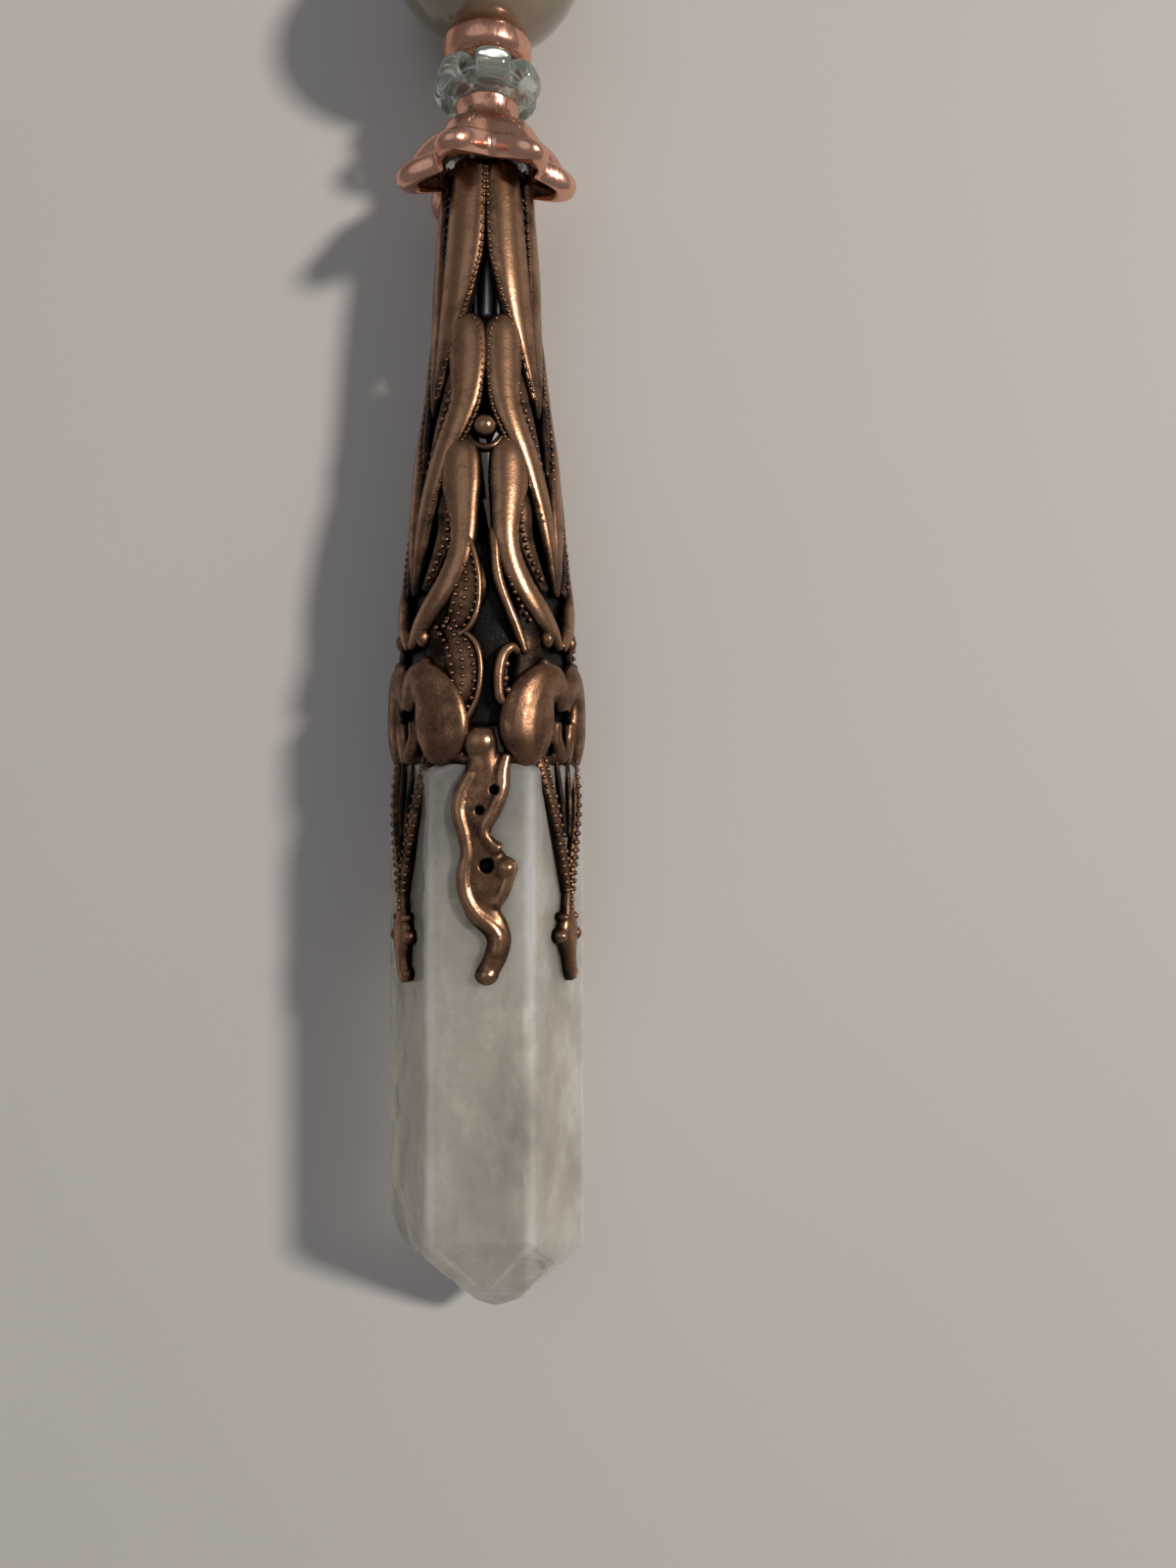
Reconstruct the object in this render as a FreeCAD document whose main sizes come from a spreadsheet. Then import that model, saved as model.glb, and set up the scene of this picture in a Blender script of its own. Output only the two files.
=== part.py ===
import FreeCAD, Part
import Sketcher
import math
import os

# Hair pin with a quartz point: a copper pin, beads on a steel stem, a filigree cone and a crystal.
# Every piece is built about the Y axis. The crystal's tip points to -Y, the pin's point to +Y, and +Z is up
# with the pin lying down. The origin is below the middle of its length, level with the lowest point.

doc = FreeCAD.newDocument("hair_pin")
sheet = doc.addObject("Spreadsheet::Sheet", "dims")

# Driving dimensions in millimetres, as alias and value.
dimensions = [
    # quartz crystal, a six-sided prism with a rough tapered base and a six-faced point
    ("crystal_length", 43.7),
    ("crystal_apothem", 6.3),
    ("crystal_edge_radius", 1.5),
    ("crystal_base_slope", 0.2),
    ("crystal_base_gap", 0.3),
    ("tip_angle", 46.0),
    ("shoulder_top", 7.75),
    ("shoulder_upper_right", 5.47),
    ("shoulder_lower_right", 4.41),
    ("shoulder_bottom", 3.95),
    ("shoulder_lower_left", 5.32),
    ("shoulder_upper_left", 6.54),
    # filigree cone, formed from sheet
    ("crystal_bare_length", 25.3),
    ("prong_length", 16.3),
    ("scroll_band_length", 6.0),
    ("lattice_length", 37.0),
    ("sheet_thickness", 0.7),
    ("crystal_gap", 0.2),
    ("mouth_step", 0.45),
    ("waist_radius", 5.95),
    ("waist_height", 16.0),
    ("shoulder_radius", 4.15),
    ("shoulder_height", 13.0),
    ("cone_top_radius", 3.3),
    ("prong_gap_at_root", 2.8),
    ("prong_gap_at_tip", 4.6),
    ("prong_slot_width", 1.8),
    ("prong_slot_length", 8.0),
    # threaded pieces
    ("stem_radius", 0.9),
    ("running_clearance", 0.08),
    ("stack_gap", 0.05),
    ("inner_bead_radius", 3.2),
    ("inner_bead_height", 2.4),
    ("inner_bead_edge", 1.0),
    ("cap_length", 6.0),
    ("cap_overhang", 0.75),
    ("cap_radius", 6.7),
    ("cap_neck_radius", 2.4),
    ("cap_wall", 0.7),
    ("petal_notch_depth", 1.3),
    ("petal_notch_width", 1.6),
    ("glass_bead_radius", 1.35),
    ("glass_ring_radius", 2.74),
    ("glass_bead_hole", 0.5),
    ("ring_wire_radius", 0.12),
    ("spacer_radius", 3.3),
    ("spacer_height", 2.4),
    ("spacer_edge", 0.9),
    ("big_bead_radius", 7.5),
    ("big_bead_flat", 2.4),
    # pin
    ("collar_radius", 3.0),
    ("collar_height", 1.6),
    ("collar_edge", 0.5),
    ("grip_radius", 2.0),
    ("grip_length", 70.0),
    ("point_length", 45.0),
    ("point_end_radius", 0.8),
    ("socket_depth", 8.0),
    # adhesive
    ("bond_gap", 0.02),
    ("neck_adhesive_length", 4.5),
    ("adhesive_below_waist", 1.1),
    ("stem_reach", 10.7),
]
for row, (alias, value) in enumerate(dimensions, start=1):
    sheet.set(f"A{row}", alias)
    sheet.set(f"B{row}", str(value))
    sheet.setAlias(f"B{row}", alias)
doc.recompute()

GLASS_BEADS = 6
PETALS = 6
PRONGS = 6
REPEATS = 3          # the lattice repeats three times round the cone
HALF_REPEAT = 60
GLASS_BEAD_TURN = 12  # degrees between the topmost glass bead and straight up

# Distances along the axis from the crystal's tip, each written from the ones before it.
BASE_Y = "dims.crystal_length"
CONE_Y = "dims.crystal_bare_length"
MOUTH_Y = f"{CONE_Y} + dims.prong_length"
LATTICE_Y = f"{MOUTH_Y} + dims.scroll_band_length"
CONE_TOP_Y = f"{LATTICE_Y} + dims.lattice_length"
INNER_BEAD_Y = f"{CONE_TOP_Y} + dims.stack_gap"
CAP_Y = f"{INNER_BEAD_Y} - dims.cap_overhang"
RING_Y = f"{CAP_Y} + dims.cap_length + dims.stack_gap + dims.glass_bead_radius"
SPACER_Y = f"{RING_Y} + dims.glass_bead_radius + dims.stack_gap"
BEAD_HALF = "sqrt(dims.big_bead_radius ^ 2 - dims.big_bead_flat ^ 2)"
BIG_BEAD_Y = f"{SPACER_Y} + dims.spacer_height + dims.stack_gap + {BEAD_HALF}"
PIN_Y = f"{BIG_BEAD_Y} + {BEAD_HALF} + dims.stack_gap"
TOTAL = f"{PIN_Y} + dims.collar_height + dims.grip_length + dims.point_length"
STEM_Y = f"{CONE_TOP_Y} - dims.stem_reach"
HOLE = "dims.stem_radius + dims.running_clearance"

# The prongs lie flat on the crystal's six faces, and the cone's mouth is a little narrower than they are.
SEAT = "(dims.crystal_apothem + dims.crystal_gap)"
PRONG = f"({SEAT} + dims.sheet_thickness)"
MOUTH = f"({PRONG} - dims.mouth_step)"


def place(piece, distance):
    """Puts a piece at a distance from the crystal's tip, on the axis."""
    piece.setExpression("Placement.Base.y", f"{distance} - ({TOTAL}) / 2")
    piece.setExpression("Placement.Base.z", "dims.big_bead_radius")


def new_body(name, distance):
    body = doc.addObject("PartDesign::Body", name)
    body.Label = name
    place(body, distance)
    return body


def origin_feature(body, role):
    return next(item for item in body.Origin.OriginFeatures if item.Role == role)


def sketch_in(body, name, turn=0.0):
    """A sketch through the axis, turned about it. Its X is the radius and its Y runs along the axis."""
    sketch = body.newObject("Sketcher::SketchObject", name)
    sketch.AttachmentSupport = [(origin_feature(body, "XY_Plane"), "")]
    sketch.MapMode = "FlatFace"
    sketch.AttachmentOffset = FreeCAD.Placement(
        FreeCAD.Vector(0, 0, 0), FreeCAD.Rotation(FreeCAD.Vector(0, 1, 0), turn)
    )
    return sketch


def hold_point(sketch, line, across, text):
    """Holds a line's start at a distance from the origin, along X or Y. A leading minus puts it on the far side."""
    if text == "0":
        sketch.addConstraint(Sketcher.Constraint("PointOnObject", line, 1, -2 if across == "X" else -1))
        return
    ends = (line, 1, -1, 1) if text.startswith("-") else (-1, 1, line, 1)
    name = f"{across.lower()}{line}"
    index = sketch.addConstraint(Sketcher.Constraint(f"Distance{across}", *ends, 1.0))
    sketch.renameConstraint(index, name)
    sketch.setExpression(f"Constraints.{name}", text.lstrip("-"))


def outline(sketch, corners):
    """A closed outline of straight lines through the corners, each a pair of expressions."""
    count = len(corners)
    spread = [2 * math.pi * i / count for i in range(count + 1)]
    points = [FreeCAD.Vector(5 + math.cos(a), 5 + math.sin(a), 0) for a in spread]
    for i in range(count):
        sketch.addGeometry(Part.LineSegment(points[i], points[i + 1]))
    for i in range(count):
        sketch.addConstraint(Sketcher.Constraint("Coincident", i, 2, (i + 1) % count, 1))
    for i, (x, y) in enumerate(corners):
        hold_point(sketch, i, "X", x)
        hold_point(sketch, i, "Y", y)


def revolve(body, name, corners):
    """Turns an outline a full turn about the axis, as new metal, glass or stone."""
    sketch = sketch_in(body, f"{name}_outline")
    outline(sketch, corners)
    feature = body.newObject("PartDesign::Revolution", name)
    feature.Profile = sketch
    feature.ReferenceAxis = (sketch, ["V_Axis"])
    feature.Angle = 360
    doc.recompute()
    return feature


def round_circles(body, name, radius_name, wanted):
    """Rounds the circular edges that lie at the wanted radius, given as a number."""
    base = body.Tip
    edges = []
    for number, edge in enumerate(base.Shape.Edges, start=1):
        circle = edge.Curve
        if isinstance(circle, Part.Circle) and abs(circle.Radius - wanted) < 1e-4:
            edges.append(f"Edge{number}")
    fillet = body.newObject("PartDesign::Fillet", name)
    fillet.Base = (base, edges)
    fillet.setExpression("Radius", f"dims.{radius_name}")
    doc.recompute()
    return fillet


def value(alias):
    return float(sheet.get(alias))


def cut(body, name, corners, turn, copies=1):
    """Cuts an outline outwards from the axis through one side of a piece, repeated round the axis."""
    before = body.Tip.Shape.Volume
    sketch = sketch_in(body, f"{name}_outline", turn)
    outline(sketch, corners)
    pocket = body.newObject("PartDesign::Pocket", name)
    pocket.Profile = sketch
    pocket.Type = "Length"
    pocket.setExpression("Length", f"{PRONG} * 2")
    pocket.Reversed = True
    doc.recompute()
    if pocket.Shape.Volume > before - 1e-6:
        raise RuntimeError(f"{name} cuts nothing")
    if copies > 1:
        pattern = body.newObject("PartDesign::PolarPattern", f"{name}_pattern")
        pattern.Originals = [pocket]
        pattern.Axis = (origin_feature(body, "Y_Axis"), [""])
        pattern.Angle = 360
        pattern.Occurrences = copies
        body.Tip = pattern
        doc.recompute()


def hexagon(sketch, apothem):
    """A hexagon about the axis, with corners at +X and -X and a flat at +Z."""
    turns = [i * math.pi / 3 for i in range(7)]
    corners = [FreeCAD.Vector(8 * math.cos(a), 8 * math.sin(a), 0) for a in turns]
    for i in range(6):
        sketch.addGeometry(Part.LineSegment(corners[i], corners[i + 1]))
    sketch.addGeometry(Part.Circle(FreeCAD.Vector(0, 0, 0), FreeCAD.Vector(0, 0, 1), 8), True)
    for i in range(6):
        sketch.addConstraint(Sketcher.Constraint("Coincident", i, 2, (i + 1) % 6, 1))
        sketch.addConstraint(Sketcher.Constraint("PointOnObject", i, 1, 6))
        if i:
            sketch.addConstraint(Sketcher.Constraint("Equal", 0, i))
    sketch.addConstraint(Sketcher.Constraint("Coincident", 6, 3, -1, 1))
    sketch.addConstraint(Sketcher.Constraint("PointOnObject", 0, 1, -1))
    size = sketch.addConstraint(Sketcher.Constraint("Radius", 6, 8))
    sketch.renameConstraint(size, "reach")
    sketch.setExpression("Constraints.reach", f"{apothem} / cos(30)")


# --- quartz crystal ---
def make_crystal():
    body = new_body("quartz_crystal", "0 * dims.stack_gap")
    sketch = body.newObject("Sketcher::SketchObject", "crystal_section")
    sketch.AttachmentSupport = [(origin_feature(body, "XZ_Plane"), "")]
    sketch.MapMode = "FlatFace"
    hexagon(sketch, "dims.crystal_apothem")
    prism = body.newObject("PartDesign::Pad", "prism")
    prism.Profile = sketch
    prism.setExpression("Length", "dims.crystal_length")
    prism.Reversed = True
    doc.recompute()
    long_edges = []
    for number, edge in enumerate(prism.Shape.Edges, start=1):
        ends = [vertex.Point for vertex in edge.Vertexes]
        if abs(ends[0].y - ends[1].y) > value("crystal_length") / 2:
            long_edges.append(f"Edge{number}")
    fillet = body.newObject("PartDesign::Fillet", "rounded_edges")
    fillet.Base = (prism, long_edges)
    fillet.setExpression("Radius", "dims.crystal_edge_radius")
    doc.recompute()
    taper = body.newObject("PartDesign::Groove", "rough_base")
    sketch = sketch_in(body, "rough_base_outline")
    outside = "(dims.crystal_apothem * 1.3)"
    end = f"({BASE_Y} + 1)"
    at_mouth = f"({MOUTH} - dims.sheet_thickness - dims.crystal_base_gap)"
    start = f"({MOUTH_Y} - ({outside} - {at_mouth}) / dims.crystal_base_slope)"
    narrow = f"({at_mouth} - dims.crystal_base_slope * ({end} - ({MOUTH_Y})))"
    outline(sketch, [(outside, start), (outside, end), (narrow, end)])
    taper.Profile = sketch
    taper.ReferenceAxis = (sketch, ["V_Axis"])
    taper.Angle = 360
    body.Tip = taper
    doc.recompute()
    faces = ["top", "upper_right", "lower_right", "bottom", "lower_left", "upper_left"]
    for i, face in enumerate(faces):
        cut_tip_face(body, face, i * 60)
    return body


def cut_tip_face(body, face, turn):
    """Cuts one face of the crystal's point: a plane that leans at the quartz face angle."""
    before = body.Tip.Shape.Volume
    sketch = sketch_in(body, f"{face}_face_outline", turn + 90)
    far = "(dims.crystal_apothem * 2)"
    rise = "dims.crystal_apothem / tan(dims.tip_angle)"
    shoulder = f"dims.shoulder_{face}"
    outline(sketch, [("-" + far, f"({shoulder} + {rise})"),
                     ("-" + far, "-" + f"({rise} * 3 - {shoulder})"),
                     (far, "-" + f"({rise} * 3 - {shoulder})")])
    pocket = body.newObject("PartDesign::Pocket", f"{face}_face")
    pocket.Profile = sketch
    pocket.Type = "Length"
    pocket.Midplane = True
    pocket.setExpression("Length", "dims.crystal_apothem * 4")
    doc.recompute()
    if pocket.Shape.Volume > before - 1e-6:
        raise RuntimeError(f"the {face} face cuts nothing")


# --- filigree cone ---
# Windows of the lattice: name, lower end and upper end above the scroll band, half width, turn about the axis.
LATTICE_WINDOWS = [
    ("lower_front_window", 0.5, 9.3, 1.9, 0),
    ("see_through_window", 14.0, 17.2, 0.75, 0),
    ("ball_window", 19.6, 23.4, 1.3, 0),
    ("upper_front_window", 26.2, 31.8, 0.9, 0),
    ("lower_side_window", 2.2, 7.0, 1.0, 60),
    ("middle_side_window", 9.8, 14.4, 1.2, 60),
    ("upper_side_window", 17.4, 22.6, 1.2, 60),
    ("left_lower_leaf_window", 6.6, 11.6, 0.6, -28),
    ("right_lower_leaf_window", 6.6, 11.6, 0.6, 28),
    ("left_upper_leaf_window", 15.4, 20.0, 0.5, -30),
    ("right_upper_leaf_window", 15.4, 20.0, 0.5, 30),
]


def make_cone():
    body = new_body("filigree_cone", CONE_Y)
    wall = "dims.sheet_thickness"
    mouth = "dims.prong_length"
    lattice = "(dims.prong_length + dims.scroll_band_length)"
    waist = "(dims.prong_length + dims.waist_height)"
    top = "(dims.prong_length + dims.scroll_band_length + dims.lattice_length)"
    shoulder = f"({top} - dims.shoulder_height)"
    seat = f"({mouth} * 0.8)"
    outside = [(f"{PRONG}", "0"), (f"{PRONG}", seat), (MOUTH, mouth), (MOUTH, lattice),
               ("dims.waist_radius", waist), ("dims.shoulder_radius", shoulder),
               ("dims.cone_top_radius", top)]
    inside = [(f"({radius} - {wall})", height) for radius, height in reversed(outside)]
    stock = f"({PRONG} / cos(20))"
    outside[0] = (stock, "0")
    outside[1] = (stock, seat)
    revolve(body, "wall", outside + inside)
    cut_along(body, "crystal_seat", SEAT, None, seat)
    cut_along(body, "prong_flats", PRONG, f"{stock} * 1.1", mouth)
    cut(body, "prong_gap", prong_gap(mouth), 30, PRONGS)
    cut(body, "prong_slot", lens(f"({mouth} - dims.prong_slot_length)", f"({mouth} - 0.6)",
                                 "(dims.prong_slot_width / 2)"), HALF_REPEAT, REPEATS)
    for name, low, high, half_width, turn in LATTICE_WINDOWS:
        cut(body, name, lens(f"({lattice} + {low})", f"({lattice} + {high})", f"{half_width}"), turn, REPEATS)
    return body


def cut_along(body, name, apothem, around, length):
    """Cuts a hexagon, or what lies between it and a circle around it, along the axis from the prongs' tips."""
    before = body.Tip.Shape.Volume
    sketch = body.newObject("Sketcher::SketchObject", f"{name}_outline")
    sketch.AttachmentSupport = [(origin_feature(body, "XZ_Plane"), "")]
    sketch.MapMode = "FlatFace"
    hexagon(sketch, apothem)
    if around:
        ring = sketch.addGeometry(Part.Circle(FreeCAD.Vector(0, 0, 0), FreeCAD.Vector(0, 0, 1), 12))
        sketch.addConstraint(Sketcher.Constraint("Coincident", ring, 3, -1, 1))
        size = sketch.addConstraint(Sketcher.Constraint("Radius", ring, 12))
        sketch.renameConstraint(size, "around")
        sketch.setExpression("Constraints.around", around)
    pocket = body.newObject("PartDesign::Pocket", name)
    pocket.Profile = sketch
    pocket.Type = "Length"
    pocket.setExpression("Length", length)
    doc.recompute()
    if pocket.Shape.Volume > before - 1e-6:
        raise RuntimeError(f"{name} cuts nothing")


def prong_gap(mouth):
    root = "(dims.prong_gap_at_root / 2)"
    tip = "(dims.prong_gap_at_tip / 2)"
    return [("-" + tip, "-1"), (tip, "-1"), (root, f"({mouth} - 1.5)"), ("0", f"({mouth} + 0.9)"),
            ("-" + root, f"({mouth} - 1.5)")]


def lens(low, high, half_width):
    """A pointed window, widest over its middle half."""
    quarter = f"({low} + ({high} - {low}) * 0.28)"
    three = f"({low} + ({high} - {low}) * 0.72)"
    return [("0", low), (half_width, quarter), (half_width, three), ("0", high),
            ("-" + half_width, three), ("-" + half_width, quarter)]


# --- threaded pieces ---
def make_inner_bead():
    body = new_body("inner_glass_bead", INNER_BEAD_Y)
    top = "dims.inner_bead_height"
    radius = "dims.inner_bead_radius"
    revolve(body, "disc", [(HOLE, "0"), (radius, "0"), (radius, top), (HOLE, top)])
    round_circles(body, "rounded_rim", "inner_bead_edge", value("inner_bead_radius"))
    return body


def make_flower_cap():
    body = new_body("flower_cap", CAP_Y)
    wall = "dims.cap_wall"
    top = "dims.cap_length"
    crown = "(dims.cap_overhang + dims.inner_bead_height + dims.stack_gap)"
    bead = "dims.inner_bead_radius"
    rim = "dims.cap_radius"
    corners = [
        (HOLE, crown), (f"({bead} - 0.6)", crown), (f"({bead} + 0.25)", f"({crown} - 0.5)"),
        (f"({bead} + 1.4)", f"({crown} - 1.5)"), (f"({rim} - {wall} * 1.4)", f"({crown} - 2.3)"),
        (f"({rim} - {wall})", "0"), (f"({rim} - 0.2)", "0"), (rim, f"({crown} - 2.4)"),
        (f"({rim} - 0.2)", f"({crown} - 1.7)"), (f"({bead} + 1.9)", f"({crown} - 0.6)"),
        (f"({bead} + 0.6)", f"({crown} + 0.3)"), ("dims.cap_neck_radius + 0.3", f"({crown} + 0.9)"),
        ("dims.cap_neck_radius", f"({top} - 0.9)"), ("dims.cap_neck_radius", top), (HOLE, top),
    ]
    revolve(body, "bell", corners)
    notch = "(dims.petal_notch_width / 2)"
    cut_notches(body, notch)
    return body


def cut_notches(body, half_width):
    """Cuts the gaps between petals: wedges that run parallel to the axis from the rim inwards."""
    before = body.Tip.Shape.Volume
    sketch = body.newObject("Sketcher::SketchObject", "notch_outline")
    sketch.AttachmentSupport = [(origin_feature(body, "XZ_Plane"), "")]
    sketch.MapMode = "FlatFace"
    outline(sketch, [("0", "(dims.cap_radius - dims.petal_notch_depth)"),
                     (half_width, "(dims.cap_radius + 0.5)"), ("-" + half_width, "(dims.cap_radius + 0.5)")])
    pocket = body.newObject("PartDesign::Pocket", "notch")
    pocket.Profile = sketch
    pocket.Type = "Length"
    pocket.Midplane = True
    pocket.setExpression("Length", "dims.cap_length * 3")
    doc.recompute()
    if pocket.Shape.Volume > before - 1e-6:
        raise RuntimeError("the petal notches cut nothing")
    pattern = body.newObject("PartDesign::PolarPattern", "notches")
    pattern.Originals = [pocket]
    pattern.Axis = (origin_feature(body, "Y_Axis"), [""])
    pattern.Angle = 360
    pattern.Occurrences = PETALS
    body.Tip = pattern
    doc.recompute()


def make_glass_ring():
    wire = doc.addObject("Part::Torus", "ring_wire_loop")
    wire.setExpression("Radius1", "dims.glass_ring_radius")
    wire.setExpression("Radius2", "dims.ring_wire_radius")
    wire.Placement.Rotation = FreeCAD.Rotation(FreeCAD.Vector(1, 0, 0), 90)
    wire.Label = "ring_wire"
    place(wire, RING_Y)
    pieces = [wire]
    for number in range(1, GLASS_BEADS + 1):
        turn = GLASS_BEAD_TURN + (number - 1) * 360 / GLASS_BEADS
        pieces.append(make_glass_bead(f"glass_bead_{number}", turn))
    return pieces


def make_glass_bead(name, turn):
    """A round bead at a turn from straight up about the axis, bored across the axis for the ring's wire."""
    ball = doc.addObject("Part::Sphere", f"{name}_ball")
    ball.setExpression("Radius", "dims.glass_bead_radius")
    ball.Placement.Rotation = FreeCAD.Rotation(FreeCAD.Vector(0, 1, 0), 90)
    ball.setExpression("Placement.Base.z", "dims.glass_ring_radius")
    bore = doc.addObject("Part::Cylinder", f"{name}_bore")
    bore.setExpression("Radius", "dims.glass_bead_hole")
    bore.setExpression("Height", "dims.glass_bead_radius * 3")
    bore.Placement.Rotation = FreeCAD.Rotation(FreeCAD.Vector(0, 1, 0), 90)
    bore.setExpression("Placement.Base.x", "-dims.glass_bead_radius * 1.5")
    bore.setExpression("Placement.Base.z", "dims.glass_ring_radius")
    bead = doc.addObject("Part::Cut", f"{name}_bored")
    bead.Base = ball
    bead.Tool = bore
    bead.Label = name
    bead.Placement.Rotation = FreeCAD.Rotation(FreeCAD.Vector(0, 1, 0), turn)
    place(bead, RING_Y)
    return bead


def make_copper_ring():
    body = new_body("copper_ring", SPACER_Y)
    radius = "dims.spacer_radius"
    top = "dims.spacer_height"
    revolve(body, "band", [(HOLE, "0"), (radius, "0"), (radius, top), (HOLE, top)])
    round_circles(body, "rounded_band", "spacer_edge", value("spacer_radius"))
    return body


def make_large_bead():
    """A ball with its two poles ground flat where the neighbours bear, and a hole through it."""
    ball = doc.addObject("Part::Sphere", "large_bead_ball")
    ball.setExpression("Radius", "dims.big_bead_radius")
    slab = doc.addObject("Part::Cylinder", "large_bead_slab")
    slab.setExpression("Radius", "dims.big_bead_radius * 1.1")
    slab.setExpression("Height", f"2 * {BEAD_HALF}")
    slab.Placement.Rotation = FreeCAD.Rotation(FreeCAD.Vector(1, 0, 0), -90)
    slab.setExpression("Placement.Base.y", f"-({BEAD_HALF})")
    ground = doc.addObject("Part::Common", "large_bead_ground")
    ground.Base = ball
    ground.Tool = slab
    bore = doc.addObject("Part::Cylinder", "large_bead_bore")
    bore.setExpression("Radius", HOLE)
    bore.setExpression("Height", "dims.big_bead_radius * 2")
    bore.Placement.Rotation = FreeCAD.Rotation(FreeCAD.Vector(1, 0, 0), -90)
    bore.setExpression("Placement.Base.y", "-dims.big_bead_radius")
    bead = doc.addObject("Part::Cut", "large_bead_bored")
    bead.Base = ground
    bead.Tool = bore
    bead.Label = "large_bead"
    place(bead, BIG_BEAD_Y)
    return bead


# --- pin, stem and adhesive ---
def make_pin():
    body = new_body("pin_shaft", PIN_Y)
    socket = "dims.stem_radius + dims.bond_gap"
    collar = "dims.collar_height"
    grip = f"({collar} + dims.grip_length)"
    end = f"({grip} + dims.point_length)"
    depth = "dims.socket_depth"
    revolve(body, "rod", [
        (socket, "0"), ("dims.collar_radius", "0"), ("dims.collar_radius", collar),
        ("dims.grip_radius", collar), ("dims.grip_radius", grip), ("dims.point_end_radius", f"({end} - 0.4)"),
        ("(dims.point_end_radius * 0.6)", end), ("0", end), ("0", depth), (socket, depth),
    ])
    round_circles(body, "rounded_collar", "collar_edge", value("collar_radius"))
    return body


def make_stem():
    body = new_body("stem_wire", STEM_Y)
    length = f"(({PIN_Y}) - ({STEM_Y}) + dims.socket_depth - dims.bond_gap)"
    radius = "dims.stem_radius"
    revolve(body, "wire", [("0", "0"), (f"({radius} * 0.6)", "0"), (radius, f"({radius} * 0.4)"),
                           (radius, length), ("0", length)])
    return body


def make_neck_adhesive():
    """Adhesive between the stem and the cone's narrow end."""
    length = "dims.neck_adhesive_length"
    slope = "(dims.shoulder_radius - dims.cone_top_radius) / dims.shoulder_height"
    top = "dims.cone_top_radius - dims.sheet_thickness - dims.bond_gap"
    body = new_body("neck_adhesive", f"{CONE_TOP_Y} - {length}")
    stem = "dims.stem_radius + dims.bond_gap"
    revolve(body, "neck_fill", [(stem, "0"), (f"({top} + {slope} * {length})", "0"), (f"({top})", length),
                                (stem, length)])
    return body


def make_crystal_adhesive():
    """Adhesive that fills the wide half of the cone above the crystal's base."""
    body = new_body("crystal_adhesive", f"{BASE_Y} + dims.bond_gap")
    length = f"({MOUTH_Y} + dims.waist_height - dims.adhesive_below_waist - ({BASE_Y}))"
    fall = f"({MOUTH} - dims.waist_radius) / (dims.waist_height - dims.scroll_band_length)"
    inner = f"({MOUTH} - dims.sheet_thickness - dims.bond_gap)"
    at_base = f"({inner} - {fall} * max(0; {BASE_Y} - ({LATTICE_Y})))"
    at_top = f"({inner} - {fall} * max(0; ({BASE_Y}) + {length} - ({LATTICE_Y})))"
    revolve(body, "fill", [("0", "0"), (at_base, "0"), (at_top, length), ("0", length)])
    return body


pieces = [make_crystal(), make_cone(), make_crystal_adhesive(), make_neck_adhesive(), make_stem(),
          make_inner_bead(), make_flower_cap(), *make_glass_ring(), make_copper_ring(), make_large_bead(),
          make_pin()]
doc.recompute()

for item in doc.Objects:
    if "Invalid" in item.State or "Error" in item.State:
        raise RuntimeError(f"{item.Name} failed: {item.State}")
os.makedirs("parts", exist_ok=True)
for piece in pieces:
    if piece.Shape.isNull() or not piece.Shape.isValid():
        raise RuntimeError(f"{piece.Label} has no valid shape")
    piece.Shape.exportStep(f"parts/{piece.Label}.step")
    box = piece.Shape.BoundBox
    print(f"{piece.Label:18s} y {box.YMin:8.2f} {box.YMax:8.2f}  z {box.ZMin:6.2f} {box.ZMax:6.2f}"
          f"  volume {piece.Shape.Volume:9.2f}")
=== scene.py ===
import math

import bmesh
import bpy
from mathutils import Matrix, Vector, noise


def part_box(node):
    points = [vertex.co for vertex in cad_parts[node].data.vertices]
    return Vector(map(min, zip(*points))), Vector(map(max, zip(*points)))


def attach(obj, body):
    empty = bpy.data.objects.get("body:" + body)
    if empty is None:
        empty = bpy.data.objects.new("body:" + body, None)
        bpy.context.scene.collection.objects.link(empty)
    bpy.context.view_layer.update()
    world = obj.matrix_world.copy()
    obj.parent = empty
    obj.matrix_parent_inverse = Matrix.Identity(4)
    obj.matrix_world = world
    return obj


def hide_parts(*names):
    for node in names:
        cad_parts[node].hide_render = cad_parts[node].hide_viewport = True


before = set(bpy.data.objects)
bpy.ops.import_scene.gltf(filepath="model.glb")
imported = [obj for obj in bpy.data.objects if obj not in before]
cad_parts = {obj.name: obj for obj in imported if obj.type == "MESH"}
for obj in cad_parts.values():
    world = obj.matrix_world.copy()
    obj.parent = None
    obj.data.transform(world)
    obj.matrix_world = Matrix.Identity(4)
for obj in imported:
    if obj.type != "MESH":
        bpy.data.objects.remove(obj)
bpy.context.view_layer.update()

mm = 0.001


# Pieces are built in millimetres about an axis along Y, then brought to the pin's own axis.
shaftLow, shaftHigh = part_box("pin_shaft")
coneLow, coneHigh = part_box("filigree_cone")
axisHeight = (shaftLow.z + shaftHigh.z) / 2
toFrame = Matrix.Translation((0, 0, axisHeight)) @ Matrix.Scale(mm, 4)
tips = coneLow.y / mm          # where the prongs end
coneLength = (coneHigh.y - coneLow.y) / mm


def span(node):  # a node's lower end and upper end along the axis
    low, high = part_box(node)
    return low.y / mm, high.y / mm


# Materials
def newMaterial(name, **values):
    material = bpy.data.materials.new(name)
    material.use_nodes = True
    shader = material.node_tree.nodes["Principled BSDF"]
    for socket, value in values.items():
        shader.inputs[socket.replace("_", " ")].default_value = value
    return material, shader


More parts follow.
